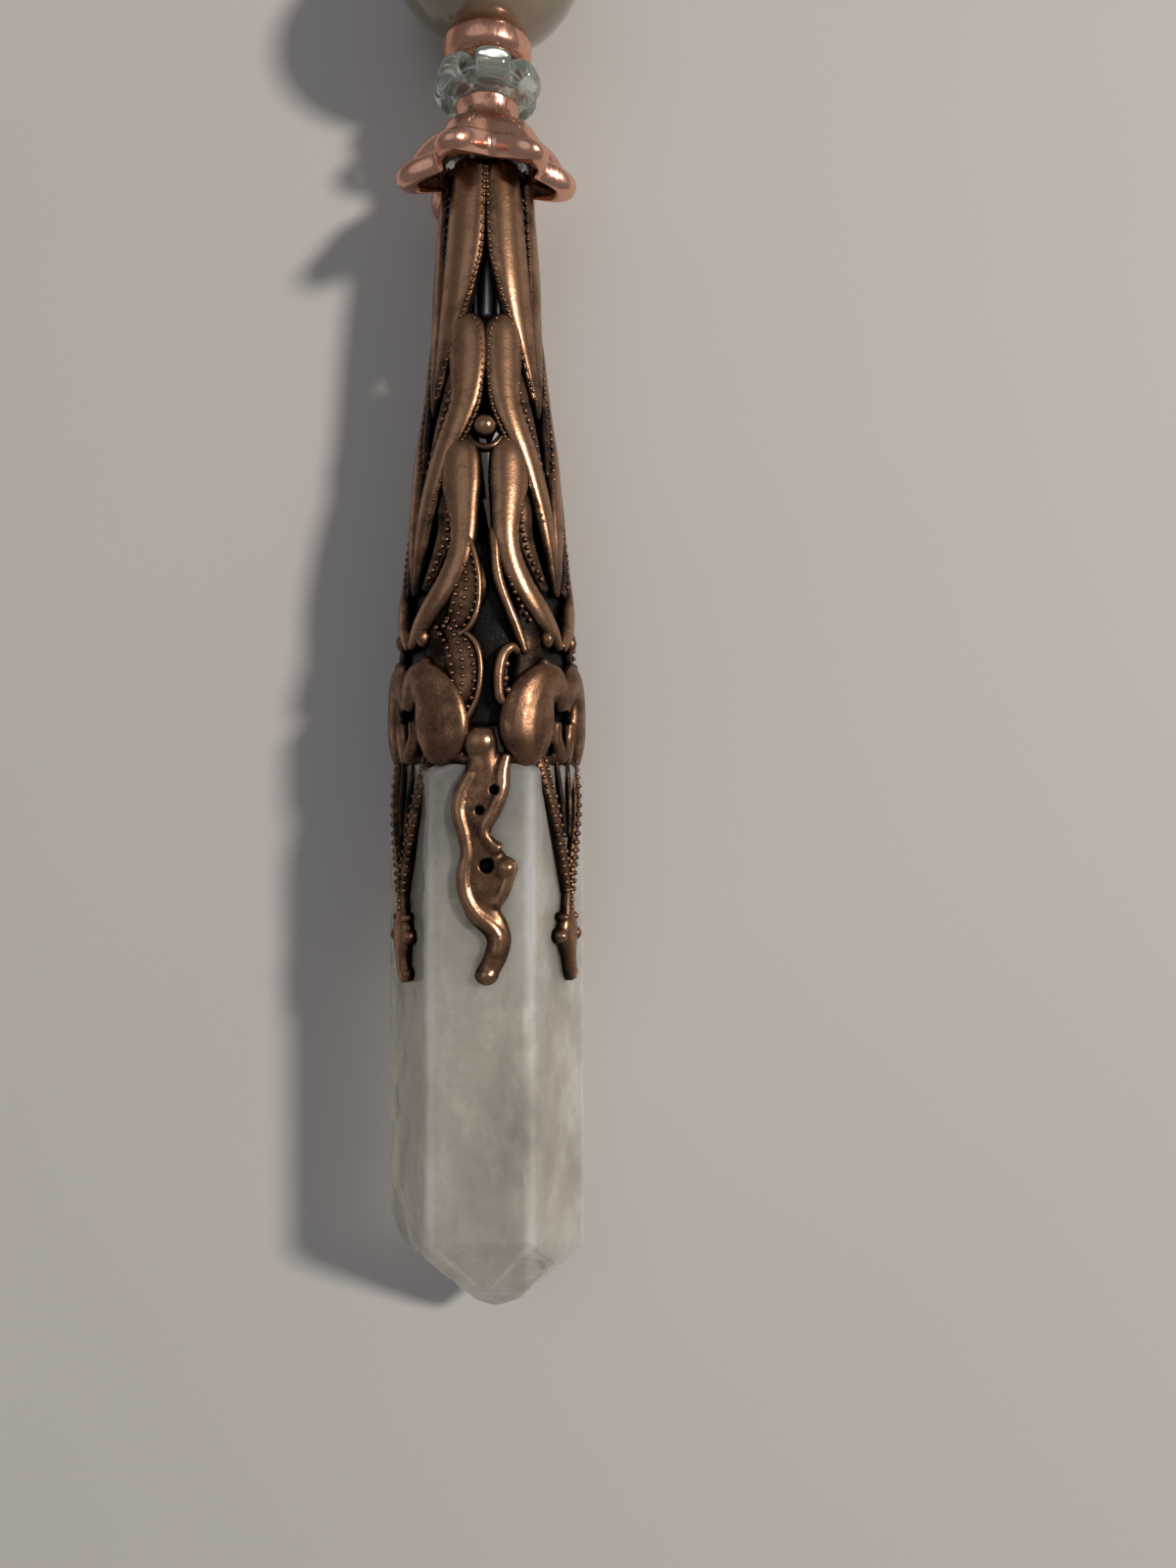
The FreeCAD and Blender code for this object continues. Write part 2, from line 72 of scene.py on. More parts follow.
def addNode(material, kind, inputs=None, **settings):
    node = material.node_tree.nodes.new(kind)
    for key, value in settings.items():
        setattr(node, key, value)
    for key, value in (inputs or {}).items():
        if isinstance(value, bpy.types.NodeSocket):
            material.node_tree.links.new(value, node.inputs[key])
        else:
            node.inputs[key].default_value = value
    return node


def wire(material, source, target):
    material.node_tree.links.new(source, target)


def objectNoise(material, scale, detail=4, stretch=(1, 1, 1), roughness=0.55):
    place = addNode(material, "ShaderNodeTexCoord")
    turned = addNode(material, "ShaderNodeMapping", {"Vector": place.outputs["Object"], "Scale": stretch})
    return addNode(material, "ShaderNodeTexNoise", {
        "Vector": turned.outputs["Vector"], "Scale": scale, "Detail": detail, "Roughness": roughness
    }).outputs["Fac"]


def ramp(material, source, stops):
    node = addNode(material, "ShaderNodeValToRGB", {"Fac": source})
    band = node.color_ramp
    while len(band.elements) < len(stops):
        band.elements.new(0.5)
    for element, (position, colour) in zip(band.elements, stops):
        element.position = position
        element.color = (*colour, 1) if len(colour) == 3 else colour
    return node.outputs["Color"]


def rescale(material, source, low, high, fromLow=0.0, fromHigh=1.0):
    return addNode(material, "ShaderNodeMapRange", {
        "Value": source, "From Min": fromLow, "From Max": fromHigh, "To Min": low, "To Max": high
    }).outputs["Result"]


def combine(material, kind, first, second):
    return addNode(material, "ShaderNodeMath", {0: first, 1: second}, operation=kind).outputs["Value"]


def blendColour(material, share, first, second, kind="MIX"):
    node = addNode(material, "ShaderNodeMix", data_type="RGBA", blend_type=kind)
    for index, value in ((0, share), (6, first), (7, second)):
        if isinstance(value, bpy.types.NodeSocket):
            wire(material, value, node.inputs[index])
        else:
            node.inputs[index].default_value = value
    return node.outputs[2]


def addBump(material, shader, height, strength, depth):
    bump = addNode(material, "ShaderNodeBump", {"Height": height, "Strength": strength,
                                               "Distance": depth * mm})
    wire(material, bump.outputs["Normal"], shader.inputs["Normal"])


antiqueLook = {
    "recess": (0.006, 0.005, 0.005), "shade": (0.026, 0.016, 0.011), "copper": (0.170, 0.090, 0.052),
    "worn": (0.37, 0.205, 0.12), "paintedShadeReach": 0.9,
}


def antiqueCopper():  # dark in the recesses, rubbed to brown copper where it stands proud
    material, shader = newMaterial("antiqueCopper", Metallic=0.95)
    relief = addNode(material, "ShaderNodeAttribute", attribute_name="relief").outputs["Fac"]
    cloud = objectNoise(material, 700, 5)
    grain = objectNoise(material, 5200, 3)
    level = rescale(material, relief, 0.0, 1.0, 0.1, 0.82)
    blotch = rescale(material, cloud, -0.22, 0.22, 0.3, 0.7)
    speck = rescale(material, grain, -0.10, 0.10, 0.3, 0.7)
    level = combine(material, "ADD", combine(material, "ADD", level, blotch), speck)
    colour = ramp(material, level, [
        (0.0, antiqueLook["recess"]), (0.34, antiqueLook["shade"]), (0.68, antiqueLook["copper"]),
        (1.0, antiqueLook["worn"])
    ])
    # Painted shade: ambient occlusion darkens the colour in crevices and between strips, on top of the patina
    # in the recesses.
    creviceShade = addNode(material, "ShaderNodeAmbientOcclusion", {"Distance": antiqueLook["paintedShadeReach"] * mm},
                     samples=6)
    shade = rescale(material, creviceShade.outputs["AO"], 0.04, 1.0, 0.35, 0.92)
    colour = blendColour(material, 1.0, colour, shade, "MULTIPLY")
    wire(material, colour, shader.inputs["Base Color"])
    wire(material, rescale(material, level, 0.55, 0.25), shader.inputs["Roughness"])
    addBump(material, shader, combine(material, "ADD", rescale(material, grain, 0, 0.4), cloud), 0.4, 0.06)
    return material


polishedLook = {"tarnished": (0.50, 0.22, 0.14), "copper": (0.80, 0.42, 0.30), "bright": (0.88, 0.52, 0.39)}


def polishedCopper():
    material, shader = newMaterial("polishedCopper", Metallic=1.0)
    tarnish = objectNoise(material, 260, 5)
    scratch = objectNoise(material, 900, 3, (9, 1, 9))
    colour = ramp(material, tarnish, [
        (0.25, polishedLook["tarnished"]), (0.5, polishedLook["copper"]), (0.75, polishedLook["bright"])
    ])
    wire(material, colour, shader.inputs["Base Color"])
    wire(material, rescale(material, scratch, 0.14, 0.34, 0.3, 0.7), shader.inputs["Roughness"])
    addBump(material, shader, scratch, 0.12, 0.03)
    return material


glassLook = {"tinted": (0.56, 0.68, 0.61), "clear": (0.82, 0.88, 0.84)}


def clearGlass():
    material, shader = newMaterial("clearGlass", Transmission_Weight=0.86, IOR=1.5)
    swirl = objectNoise(material, 420, 3)
    colour = ramp(material, swirl, [(0.3, glassLook["tinted"]), (0.7, glassLook["clear"])])
    wire(material, colour, shader.inputs["Base Color"])
    wire(material, rescale(material, swirl, 0.0, 0.05), shader.inputs["Roughness"])
    addBump(material, shader, swirl, 0.12, 0.1)
    return material


stoneLook = {
    "dark": (0.16, 0.128, 0.078), "middle": (0.25, 0.20, 0.125), "pale": (0.36, 0.30, 0.19),
    "fleck": (0.2, 0.2, 0.17, 1),
}


def greyStone():
    material, shader = newMaterial("greyStone", Coat_Weight=1.0, Coat_Roughness=0.04)
    cloud = objectNoise(material, 190, 6)
    fleck = objectNoise(material, 1900, 3)
    colour = ramp(material, cloud, [
        (0.3, stoneLook["dark"]), (0.55, stoneLook["middle"]), (0.8, stoneLook["pale"])
    ])
    flecks = rescale(material, fleck, 0.0, 0.25, 0.55, 0.8)
    colour = blendColour(material, flecks, colour, stoneLook["fleck"])
    wire(material, colour, shader.inputs["Base Color"])
    wire(material, rescale(material, fleck, 0.12, 0.28), shader.inputs["Roughness"])
    addBump(material, shader, cloud, 0.05, 0.1)
    return material


steelLook = {"dull": (0.55, 0.55, 0.55), "bright": (0.78, 0.78, 0.78)}


def steelWire():
    material, shader = newMaterial("steelWire", Metallic=1.0)
    scratch = objectNoise(material, 1400, 3, (6, 0.6, 6))
    colour = ramp(material, scratch, [(0.3, steelLook["dull"]), (0.7, steelLook["bright"])])
    wire(material, colour, shader.inputs["Base Color"])
    wire(material, rescale(material, scratch, 0.30, 0.48), shader.inputs["Roughness"])
    addBump(material, shader, scratch, 0.15, 0.02)
    return material


# Near-black glue with little gloss; its black also stands in as painted shade for the dark inside of the
# cone.
adhesiveAndShadeLook = {"deep": (0.003, 0.003, 0.003), "grey": (0.008, 0.007, 0.006)}


def darkAdhesiveAndShade():
    material, shader = newMaterial("darkAdhesiveAndShade", Specular_IOR_Level=0.12)
    lump = objectNoise(material, 800, 4)
    colour = ramp(material, lump, [(0.35, adhesiveAndShadeLook["deep"]), (0.7, adhesiveAndShadeLook["grey"])])
    wire(material, colour, shader.inputs["Base Color"])
    wire(material, rescale(material, lump, 0.25, 0.5), shader.inputs["Roughness"])
    addBump(material, shader, lump, 0.5, 0.3)
    return material


# The veil stop is the quartz's own milky veil, and also where painted edge highlights and painted light on
# the lit side lift the colour.
quartzLook = {"milk": (0.82, 0.775, 0.68), "clear": (0.68, 0.645, 0.575), "veil": (1.0, 0.97, 0.88)}


def milkyQuartz():  # clear in places, clouded in others, with fine growth lines across its faces
    material, shader = newMaterial("milkyQuartz", IOR=1.54, Subsurface_Scale=0.006)
    shader.inputs["Subsurface Radius"].default_value = (1.0, 0.95, 0.85)
    cloud = objectNoise(material, 120, 6, (1, 0.6, 1))
    veil = objectNoise(material, 420, 8, (1, 0.7, 1), 0.7)
    growth = objectNoise(material, 700, 3, (0.12, 3.2, 0.12))
    level = combine(material, "ADD", rescale(material, cloud, 0.12, 0.5, 0.35, 0.65),
                    rescale(material, veil, 0.02, 0.24, 0.48, 0.75))
    # The edge attribute holds painted highlights along the edges and painted light on the lit side.
    edge = addNode(material, "ShaderNodeAttribute", attribute_name="edge").outputs["Fac"]
    brokenHighlight = combine(material, "MULTIPLY", edge, rescale(material, cloud, 0.35, 1.0, 0.35, 0.6))
    level = combine(material, "ADD", level, rescale(material, brokenHighlight, 0, 0.75))
    colour = ramp(material, level, [
        (0.1, quartzLook["clear"]), (0.5, quartzLook["milk"]), (0.95, quartzLook["veil"])
    ])
    wire(material, colour, shader.inputs["Base Color"])
    wire(material, rescale(material, level, 0.80, 0.40), shader.inputs["Transmission Weight"])
    wire(material, rescale(material, level, 0.35, 1.0), shader.inputs["Subsurface Weight"])
    wire(material, rescale(material, veil, 0.03, 0.14, 0.35, 0.7), shader.inputs["Roughness"])
    addBump(material, shader, combine(material, "ADD", growth, rescale(material, veil, 0, 0.5)), 0.14, 0.1)
    return material


finishes = {
    "antique_copper": antiqueCopper(), "polished_copper": polishedCopper(), "clear_glass": clearGlass(),
    "grey_stone": greyStone(), "steel_wire": steelWire(), "dark_adhesive": darkAdhesiveAndShade(),
    "quartz": milkyQuartz(),
}
print("materials made")


# Shared making
def keepPiece(name, bm, slotName, body, node=None):
    bmesh.ops.recalc_face_normals(bm, faces=bm.faces[:])
    bm.transform(toFrame)
    mesh = bpy.data.meshes.new(name)
    for face in bm.faces:
        face.smooth = True
    bm.to_mesh(mesh)
    bm.free()
    mesh.materials.append(finishes[slotName])
    piece = bpy.data.objects.new(name, mesh)
    bpy.context.scene.collection.objects.link(piece)
    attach(piece, body)
    if node:
        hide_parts(node)
    print("made", name, len(mesh.polygons))


def smoothPath(stations, count):  # a smooth run through the stations, whatever they hold
    run = []
    last = len(stations) - 1
    for i in range(count):
        at = i / (count - 1) * last
        k = min(int(at), last - 1)
        f = at - k
        a, b, c, d = (stations[max(0, min(last, k + j))] for j in (-1, 0, 1, 2))
        run.append(tuple(
            0.5 * ((2 * q) + (r - p) * f + (2 * p - 5 * q + 4 * r - s) * f * f
                   + (3 * q - p - 3 * r + s) * f ** 3)
            for p, q, r, s in zip(a, b, c, d)
        ))
    return run


def addTube(bm, rings, sides, place):  # a capped tube, each point put where place(u, v, ring) says
    known = set(bm.verts)
    bmesh.ops.create_circle(bm, cap_ends=False, radius=1, segments=sides)
    circle = [v for v in bm.verts if v not in known]
    edges = list({e for v in circle for e in v.link_edges})
    bmesh.ops.spin(bm, geom=circle + edges, cent=(0, 0, 0), axis=(0, 0, 1), dvec=(0, 0, 1),
                   angle=0, steps=rings - 1)
    fresh = [v for v in bm.verts if v not in known]
    rims = [e for e in {e for v in fresh for e in v.link_edges} if e.is_boundary]
    bmesh.ops.holes_fill(bm, edges=rims, sides=0)
    for v in fresh:
        v.co = place(v.co.x, v.co.y, round(v.co.z))


def turned(profile, steps, closed=False):  # a profile of (along, radius) spun about the axis
    bm = bmesh.new()
    verts = [bm.verts.new((0, y, r)) for y, r in profile]
    edges = [bm.edges.new(pair) for pair in zip(verts, verts[1:])]
    if closed:
        edges.append(bm.edges.new((verts[-1], verts[0])))
    bmesh.ops.spin(bm, geom=verts + edges, cent=(0, 0, 0), axis=(0, 1, 0), angle=2 * math.pi, steps=steps,
                   use_merge=True)
    bmesh.ops.remove_doubles(bm, verts=bm.verts[:], dist=1e-4)
    return bm


# Points of a rounded edge, with angles from +Y towards the outside.
def arc(centreY, centreR, radius, first, last, count):
    turns = [math.radians(first + (last - first) * i / (count - 1)) for i in range(count)]
    return [(centreY + radius * math.cos(a), centreR + radius * math.sin(a)) for a in turns]


def clamped(value):  # held between 0 and 1
    return min(max(value, 0), 1)


def outwards(turn):  # across the axis, at a turn in degrees from straight up
    return Vector((math.sin(math.radians(turn)), 0, math.cos(math.radians(turn))))


def melt(bm, voxel, rounds):  # runs overlapping forms together, as a cast or stamped relief
    mesh = bpy.data.meshes.new("rough")
    bm.to_mesh(mesh)
    bm.free()
    rough = bpy.data.objects.new("rough", mesh)
    bpy.context.scene.collection.objects.link(rough)
    modifier = rough.modifiers.new("melt", "REMESH")
    modifier.mode = "VOXEL"
    modifier.voxel_size = voxel
    solid = bpy.data.meshes.new_from_object(rough.evaluated_get(bpy.context.evaluated_depsgraph_get()))
    bpy.data.objects.remove(rough)
    fresh = bmesh.new()
    fresh.from_mesh(solid)
    for _ in range(rounds):
        bmesh.ops.smooth_vert(fresh, verts=fresh.verts[:], factor=0.5, use_axis_x=True, use_axis_y=True,
                              use_axis_z=True)
    return fresh


# Filigree cone
filigree = {
    "turn": 3.0,             # how far the pattern is turned from straight up
    "wall": [(0, 6.5), (13, 6.5), (16.3, 6.05), (22.3, 6.05), (32.3, 5.25), (46.3, 3.45), (59.3, 2.6)],
    "repeats": 3,
    "blend": (-1.2, -0.6, 0, 0.6, 1.2),     # the wall is averaged over these shifts, which rounds its bends
}


def wallRadius(height):
    total = 0
    for shift in filigree["blend"]:
        h = min(max(height + shift, 0), filigree["wall"][-1][0])
        for (h0, r0), (h1, r1) in zip(filigree["wall"], filigree["wall"][1:]):
            if h <= h1:
                total += r0 + (r1 - r0) * (h - h0) / (h1 - h0)
                break
    return total / len(filigree["blend"])


def onWall(turn, height, lift):
    a = math.radians(turn + filigree["turn"])
    r = wallRadius(height) + lift
    return Vector((r * math.sin(a), tips + height, r * math.cos(a)))


def addStrip(bm, stations, rings=30, sides=12, sole=-0.35):  # stations hold turn, height, width and lift
    run = smoothPath(stations, rings)

    def place(u, v, i):
        turn, height, width, lift = run[i]
        ahead = run[min(i + 1, rings - 1)]
        behind = run[max(i - 1, 0)]
        radius = wallRadius(height)
        across = Vector((math.radians(ahead[0] - behind[0]) * radius, ahead[1] - behind[1])).normalized()
        side = u * max(width, 0.05) / 2
        shape = lift * v ** 0.62 if v > 0 else sole * -v
        return onWall(turn + math.degrees(side * across.y / radius), height - side * across.x, shape)

    addTube(bm, rings, sides, place)


def addGranule(bm, turn, height, radius, lift):
    spot = onWall(turn, height, lift)
    bmesh.ops.create_uvsphere(bm, u_segments=8, v_segments=5, radius=radius, matrix=Matrix.Translation(spot))


def addGranules(bm, path, radius, spacing, lift):
    run = smoothPath(path, 60)
    gone = spacing
    for before, now in zip(run, run[1:]):
        gone += (onWall(*now[:2], lift) - onWall(*before[:2], lift)).length
        if gone >= spacing:
            gone = 0
            addGranule(bm, now[0], now[1], radius, lift)


def addBulb(bm, turn, height, halfWidth, halfLength, rise, detail=16):
    dome = bmesh.ops.create_uvsphere(bm, u_segments=detail, v_segments=detail // 2 + 2, radius=1)["verts"]
    for v in dome:
        u, w, h = v.co.x * halfWidth, v.co.y * halfLength, v.co.z * rise
        v.co = onWall(turn + math.degrees(u / wallRadius(height)), height + w, h if h > 0 else h * 0.4)


def mirrored(stations):
    return [(-s[0], *s[1:]) for s in stations]


def repeatRound(bm):
    step = 2 * math.pi / filigree["repeats"]
    bmesh.ops.spin(bm, geom=bm.verts[:] + bm.edges[:] + bm.faces[:], cent=(0, 0, 0), axis=(0, 1, 0),
                   angle=step * (filigree["repeats"] - 1), steps=filigree["repeats"] - 1, use_duplicate=True)


def markRelief(bm, rubbed):  # how far each point stands above the sheet, up to where the rubbing ends
    layer = bm.verts.layers.float.new("relief")
    for v in bm.verts:
        v[layer] = min(rubbed, math.hypot(v.co.x, v.co.z) - wallRadius(v.co.y - tips))


def keepFiligree(name, bm, node=None, rubbed=1.0):
    markRelief(bm, rubbed)
    keepPiece(name, bm, "antique_copper", "pin", node)


leafLook = {
    "leaf": [(24, 59.2, 2.6, .7), (26, 57, 2.9, .8), (28, 54, 3.1, .85), (34, 51, 3.0, .85),
             (40, 49, 2.8, .8),
             (47, 46.8, 2.3, .75), (53, 44.5, 1.6, .65), (58, 42, .8, .5), (60, 40.8, .3, .3)],
    "edge": [(1.5, 58.6), (2, 57.3), (5, 52.8), (11, 51), (18, 49.3), (26, 47.9), (34, 46.2), (43, 44.2),
             (52, 41.8)],
    "spine": [(60, 57, 1.2, .35), (60, 52, 1.2, .35), (60, 47, 1.9, .35), (60, 43, 1.9, .35)],
    "edgeGranules": (0.17, 0.36, 0.56),     # radius, spacing and lift
    "spineGranules": (0.2, 0.55, 0.38), "spineHalfWidth": 4.5,
}
bandLook = {
    "band": [(22, 47.8, 1.4, .6), (21, 46.9, 2.7, .8), (19, 45, 3.0, .85), (18, 43.3, 2.7, .85),
             (20, 41.5, 2.3, .85), (27, 39.8, 2.1, .85), (37, 37.8, 2.0, .85), (47, 35.1, 1.9, .8),
             (53, 32.3, 1.6, .75),
             (57.5, 29.5, 1.1, .6), (59, 27.8, .5, .4)],
    "edge": [(12, 47.5), (5, 46.4), (2.5, 44.8), (3, 43), (6, 41.2), (14, 39.3), (26, 37.4), (38, 35.2),
             (46, 33)],
    "ledge": [(26, 44.6, 1.0, .45), (33, 43.2, 1.5, .5), (38, 41.4, 1.6, .5), (45, 39.4, 1.3, .5),
              (53, 36.6, .8, .4)],
    "ledgeBeads": [(30, 43.6), (34, 41.8), (40, 40.2), (46, 38.4), (52, 36)],
    "ball": (0, 39.5, .85),
    "brow": [(-15, 38.9, .5, .5), (-8, 38.2, .6, .6), (0, 38.0, .6, .6), (8, 38.2, .6, .6),
             (15, 38.9, .5, .5)],
    "edgeGranules": (0.16, 0.36, 0.56), "ledgeGranules": (0.22, 0.58, 0.5),
}
ledgeLook = {
    "band": [(22, 38.9, 1.6, .5), (22, 37.9, 2.8, .8), (20, 35.8, 3.0, .85), (17, 33.8, 2.4, .85),
             (15.5, 32, 2.0, .85),
             (18, 30.2, 1.9, .85), (27, 28.2, 1.9, .85), (40, 26.4, 1.8, .85), (50, 25.1, 1.5, .8),
             (58, 24.0, .8, .6)],
    "ledge": [(26, 35.6, .9, .45), (31, 34, 1.5, .5), (30, 32, 1.6, .5), (36, 30, 1.4, .5),
              (46, 28, 1.0, .45)],
    "ledgeBeads": [(28, 34.6), (27, 33), (29, 31.4), (35, 29.8), (43, 28.4)],
    "ledgeGranules": (0.22, 0.56, 0.5),
}


def makeLeaves():
    bm = bmesh.new()
    for flip in (list, mirrored):
        addStrip(bm, flip(leafLook["leaf"]), 36, 14)
        rim = [(turn, height, .42, .62) for turn, height in leafLook["edge"]]
        addStrip(bm, flip(rim), 40, 8)
        addGranules(bm, flip(leafLook["edge"]), *leafLook["edgeGranules"])
    addStrip(bm, leafLook["spine"], 20, 10)
    for side in (-1, 1):
        row = [(s[0] + side * leafLook["spineHalfWidth"], s[1]) for s in leafLook["spine"]]
        addGranules(bm, row, *leafLook["spineGranules"])
    repeatRound(bm)
    rimRing = [(i * 10, coneLength - 0.32, .5, .42) for i in range(37)]
    addStrip(bm, rimRing, 109, 10)
    keepFiligree("filigreeLeaves", bm, "filigree_cone")


def makeBands():
    bm = bmesh.new()
    for flip in (list, mirrored):
        addStrip(bm, flip(bandLook["band"]), 44, 14)
        addStrip(bm, flip(bandLook["ledge"]), 26, 10)
        rim = [(a, h, .4, .6) for a, h in bandLook["edge"]]
        addStrip(bm, flip(rim), 30, 8)
        addGranules(bm, flip(bandLook["edge"]), *bandLook["edgeGranules"])
        addGranules(bm, flip(bandLook["ledgeBeads"]), *bandLook["ledgeGranules"])
    addStrip(bm, bandLook["brow"], 20, 10)
    turn, height, radius = bandLook["ball"]
    bmesh.ops.create_uvsphere(bm, u_segments=20, v_segments=12, radius=radius,
                              matrix=Matrix.Translation(onWall(turn, height, 0.25)))
    repeatRound(bm)
    keepFiligree("filigreeBands", bm)


def makeLedges():
    bm = bmesh.new()
    for flip in (list, mirrored):
        addStrip(bm, flip(ledgeLook["band"]), 44, 14)
        addStrip(bm, flip(ledgeLook["ledge"]), 26, 10)
        addGranules(bm, flip(ledgeLook["ledgeBeads"]), *ledgeLook["ledgeGranules"])
    repeatRound(bm)
    keepFiligree("filigreeLedges", bm)


voidLook = {
    "upperLobe": [(-20, 31.8, .9, .5), (-14, 29.9, 2.2, .55), (-12, 28, 2.9, .6), (-16, 26.3, 2.3, .6),
                  (-23, 25, 1.4, .5)],
    "lowerLobe": [(-25, 25.6, 1.2, .5), (-17, 24.2, 2.4, .6), (-13, 22.5, 2.9, .6), (-14, 20.8, 2.2, .6),
                  (-21, 18.9, 1.2, .5)],
    "upperRim": [(-14, 32.2), (-7.5, 30.6), (-3.5, 28.6), (-4, 26.6), (-9, 25.2), (-16, 24.6)],
    "lowerRim": [(-12, 24.8), (-5, 24.0), (-2, 22.4), (-4, 20.4), (-11, 18.8), (-20, 18)],
    "curl": [(5, 32.2, .5, .5), (7, 31.2, .8, .7), (8, 29.5, .8, .75), (11, 28, .8, .75), (17, 26.3, .8, .75),
             (22, 25, .8, .7), (27, 23.4, .6, .6)],
    "curlBeads": [(14, 29.8), (18, 28.2), (24, 26.8), (31, 25.6)],
    "hook": [(22, 23.4, .6, .6), (17, 23.8, .85, .8), (11.5, 23.2, .9, .8), (8.8, 21.8, .9, .8),
             (9.6, 20.3, .8, .75),
             (13.5, 19.8, .6, .6)],
    "web": [(30, 27.5, 2.0, .3), (32, 24.5, 2.4, .35), (28, 21.5, 2.2, .35), (27, 19, 2.0, .35)],
    "lobeGranules": (0.19, 0.52, 0.56), "curlGranules": (0.2, 0.5, 0.5),
    "seeds": [(13.5, 22.6), (13, 21.6), (14.5, 20.8)],
}


def makeVoidLeaves():
    bm = bmesh.new()
    for key in ("upperLobe", "lowerLobe", "curl", "hook"):
        addStrip(bm, voidLook[key], 28, 12)
    for key in ("upperRim", "lowerRim"):
        addStrip(bm, [(a, h, .5, .8) for a, h in voidLook[key]], 26, 10)
    for lobe in ("upperLobe", "lowerLobe"):
        for shift in (-7, 0, 7):
            row = [(s[0] + shift, s[1] - abs(shift) * 0.05) for s in voidLook[lobe]]
            addGranules(bm, row, *voidLook["lobeGranules"])
    addGranules(bm, voidLook["curlBeads"], *voidLook["curlGranules"])
    addStrip(bm, voidLook["web"], 14, 10)
    addStrip(bm, mirrored(voidLook["web"]), 14, 10)
    for turn, height in voidLook["seeds"]:
        addGranule(bm, turn, height, 0.28, 0.5)
    repeatRound(bm)
    keepFiligree("filigreeVoidLeaves", bm)


scrollLook = {
    "comma": [(60, 19.6, 1.5, .8), (55, 20.9, 2.1, .95), (47, 21.7, 2.5, 1.05), (38, 21.3, 3.1, 1.15),
              (31, 20.2, 3.8, 1.25), (28, 18.7, 4.2, 1.3), (28, 17.4, 3.9, 1.25), (29, 16.3, 2.7, 1.0),
              (30, 15.6, 1.2, .7)],
    "curl": [(47, 20.9, .8, 1.0), (42, 20.6, 1.0, 1.1), (39.5, 19.7, .9, 1.1), (41, 18.8, .6, .9)],
    "back": [(60, 16.0, 1.1, .75), (55, 16.6, 1.3, .8), (51, 17.6, 1.2, .8), (52, 18.7, .8, .8)],
    "sill": [(i * 7.5, 16.0, .9, .4) for i in range(-8, 9)],
    "bulbs": [(44, 24.6, .5, .85, .95), (40, 22.9, .4, .4, .85)],
    "rubbed": 0.62,     # above this height the scrolls get no brighter
}


def makeScrolls():
    bm = bmesh.new()
    for side in (-1, 1):
        flip = mirrored if side < 0 else list
        addStrip(bm, flip(scrollLook["comma"]), 40, 20)
        addStrip(bm, flip(scrollLook["curl"]), 16, 10)
        addStrip(bm, flip(scrollLook["back"]), 18, 10)
        for bulb in flip(scrollLook["bulbs"]):
            addBulb(bm, *bulb)
    addStrip(bm, scrollLook["sill"], 40, 10)
    bm = melt(bm, 0.13, 3)
    repeatRound(bm)
    keepFiligree("filigreeScrolls", bm, rubbed=scrollLook["rubbed"])


wavyLook = {
    "body": [(-2, 18.2, 1.7, .6), (-2, 17.2, 2.3, .8), (-1, 16.0, 2.2, .7), (-1, 14.6, 3.0, .6),
             (-4, 12.9, 3.1, .6),
             (-7, 11.2, 2.0, .55), (-3, 9.8, 2.6, .55), (1, 8.4, 3.5, .6), (-1, 6.9, 3.3, .6),
             (-1, 5.6, 2.4, .6),
             (6, 4.5, 1.9, .65), (9, 3.5, 1.7, .7), (6, 2.2, 1.6, .7), (1, 1.2, 1.5, .65)],
    "ridges": [[(-7, 15.2, .9, .75), (-13, 13.9, 1.1, .8), (-15, 12.5, 1.1, .85), (-12, 11.0, 1.0, .8),
                (-10, 9.6, .9, .75), (-12, 8.2, 1.0, .85), (-11, 6.8, 1.1, .85), (-5, 5.4, 1.1, .85),
                (3, 4.6, 1.1, .85), (8, 3.8, 1.2, .9), (7, 2.6, 1.2, .9)],
               [(14, 16.4, .8, .8), (11, 15.2, 1.1, .9), (10, 13.9, 1.1, .9), (5, 12.4, 1.1, .85),
                (0, 11.2, 1.0, .8), (3, 10.3, .9, .8), (9, 9.8, 1.0, .85)],
               [(14, 8.0, 1.0, .9), (11, 6.9, 1.0, .85), (6, 5.9, .9, .75)]],
    "pits": [(6, 13.9, .33), (-2.5, 12.5, .33), (1.5, 8.7, .52)],
    "pitDepth": 0.62, "pitFace": 6.75, "pitFloor": 6.55, "pitArc": 7,     # the last three are radii
    "bulbs": [(-3, 17.2, 1.25, 1.2, 1.0), (13, 8.5, .85, .85, 1.05), (1.5, 1.15, .85, .75, .85)],
}


def sinkPits(bm):  # presses the round pits into the faces of the wavy prongs
    for v in bm.verts:
        height = v.co.y - tips
        turn = math.degrees(math.atan2(v.co.x, v.co.z)) - filigree["turn"]
        for pitTurn, pitHeight, radius in wavyLook["pits"]:
            away = math.hypot(math.radians(turn - pitTurn) * wavyLook["pitArc"], height - pitHeight)
            if away < radius:
                sink = wavyLook["pitDepth"] * (1 - (away / radius) ** 3)
                flat = Vector((v.co.x, 0, v.co.z))
                if flat.length > wavyLook["pitFace"]:
                    v.co -= flat.normalized() * min(sink, flat.length - wavyLook["pitFloor"])


def makeWavyProngs():
    bm = bmesh.new()
    addStrip(bm, wavyLook["body"], 56, 16, -0.1)
    for ridge in wavyLook["ridges"]:
        addStrip(bm, ridge, 34, 10, -0.1)
    for bulb in wavyLook["bulbs"]:
        addBulb(bm, *bulb)
    bm = melt(bm, 0.11, 4)
    sinkPits(bm)
    repeatRound(bm)
    keepFiligree("filigreeWavyProngs", bm)


